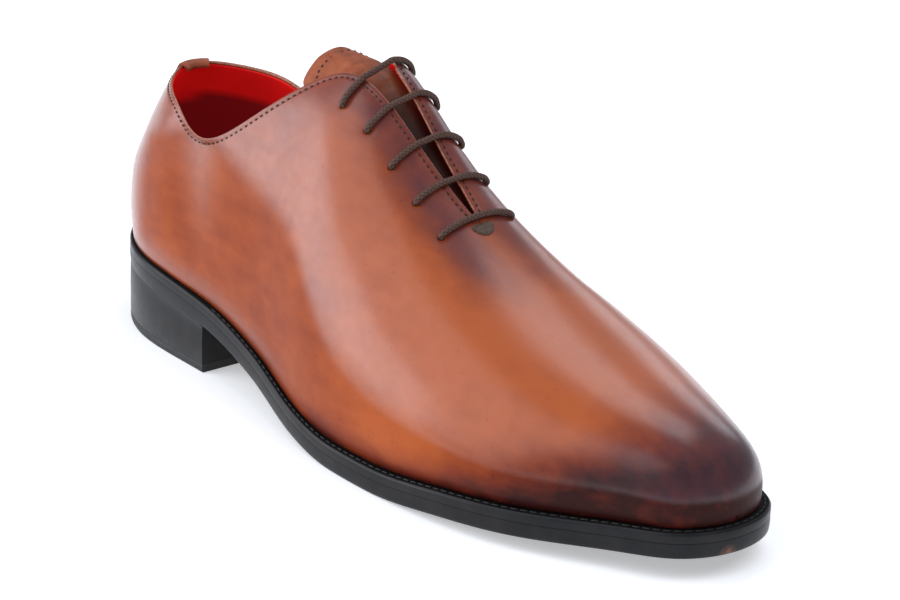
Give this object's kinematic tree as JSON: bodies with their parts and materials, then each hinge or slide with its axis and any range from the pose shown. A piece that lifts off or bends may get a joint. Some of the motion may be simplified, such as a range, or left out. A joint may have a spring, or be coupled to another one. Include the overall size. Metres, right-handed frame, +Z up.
{
  "type": "whole cut oxford shoe",
  "caption": "Right whole cut oxford dress shoe: a one-piece leather upper with closed lacing, a tongue and insole inside, on a welted sole with a block heel.",
  "frame": {"origin": "middle of the bounding box, on the floor under the sole", "axes": "+X from heel to toe, +Y to the inner (medial) side of the foot, +Z up"},
  "size_m": [0.304, 0.0993, 0.1223],
  "materials": {
    "burnished_calf": "polished burnished calf leather",
    "black_edge_leather": "black, inked and polished",
    "rubber_top_piece": "matte black",
    "sock_leather": "matte dark red",
    "tongue_calf": "polished brown calf leather",
    "waxed_cotton": "round waxed lace"
  },
  "bodies": {
    "root": {"outsole": "black_edge_leather", "welt": "black_edge_leather", "heel": "black_edge_leather", "top_piece": "rubber_top_piece", "insole": "sock_leather", "upper": "burnished_calf", "tongue": "tongue_calf", "heel_tab": "tongue_calf", "lace_bar_1": "waxed_cotton", "lace_bar_2": "waxed_cotton", "lace_bar_3": "waxed_cotton", "lace_bar_4": "waxed_cotton", "lace_bar_5": "waxed_cotton"}
  },
  "joints": []
}
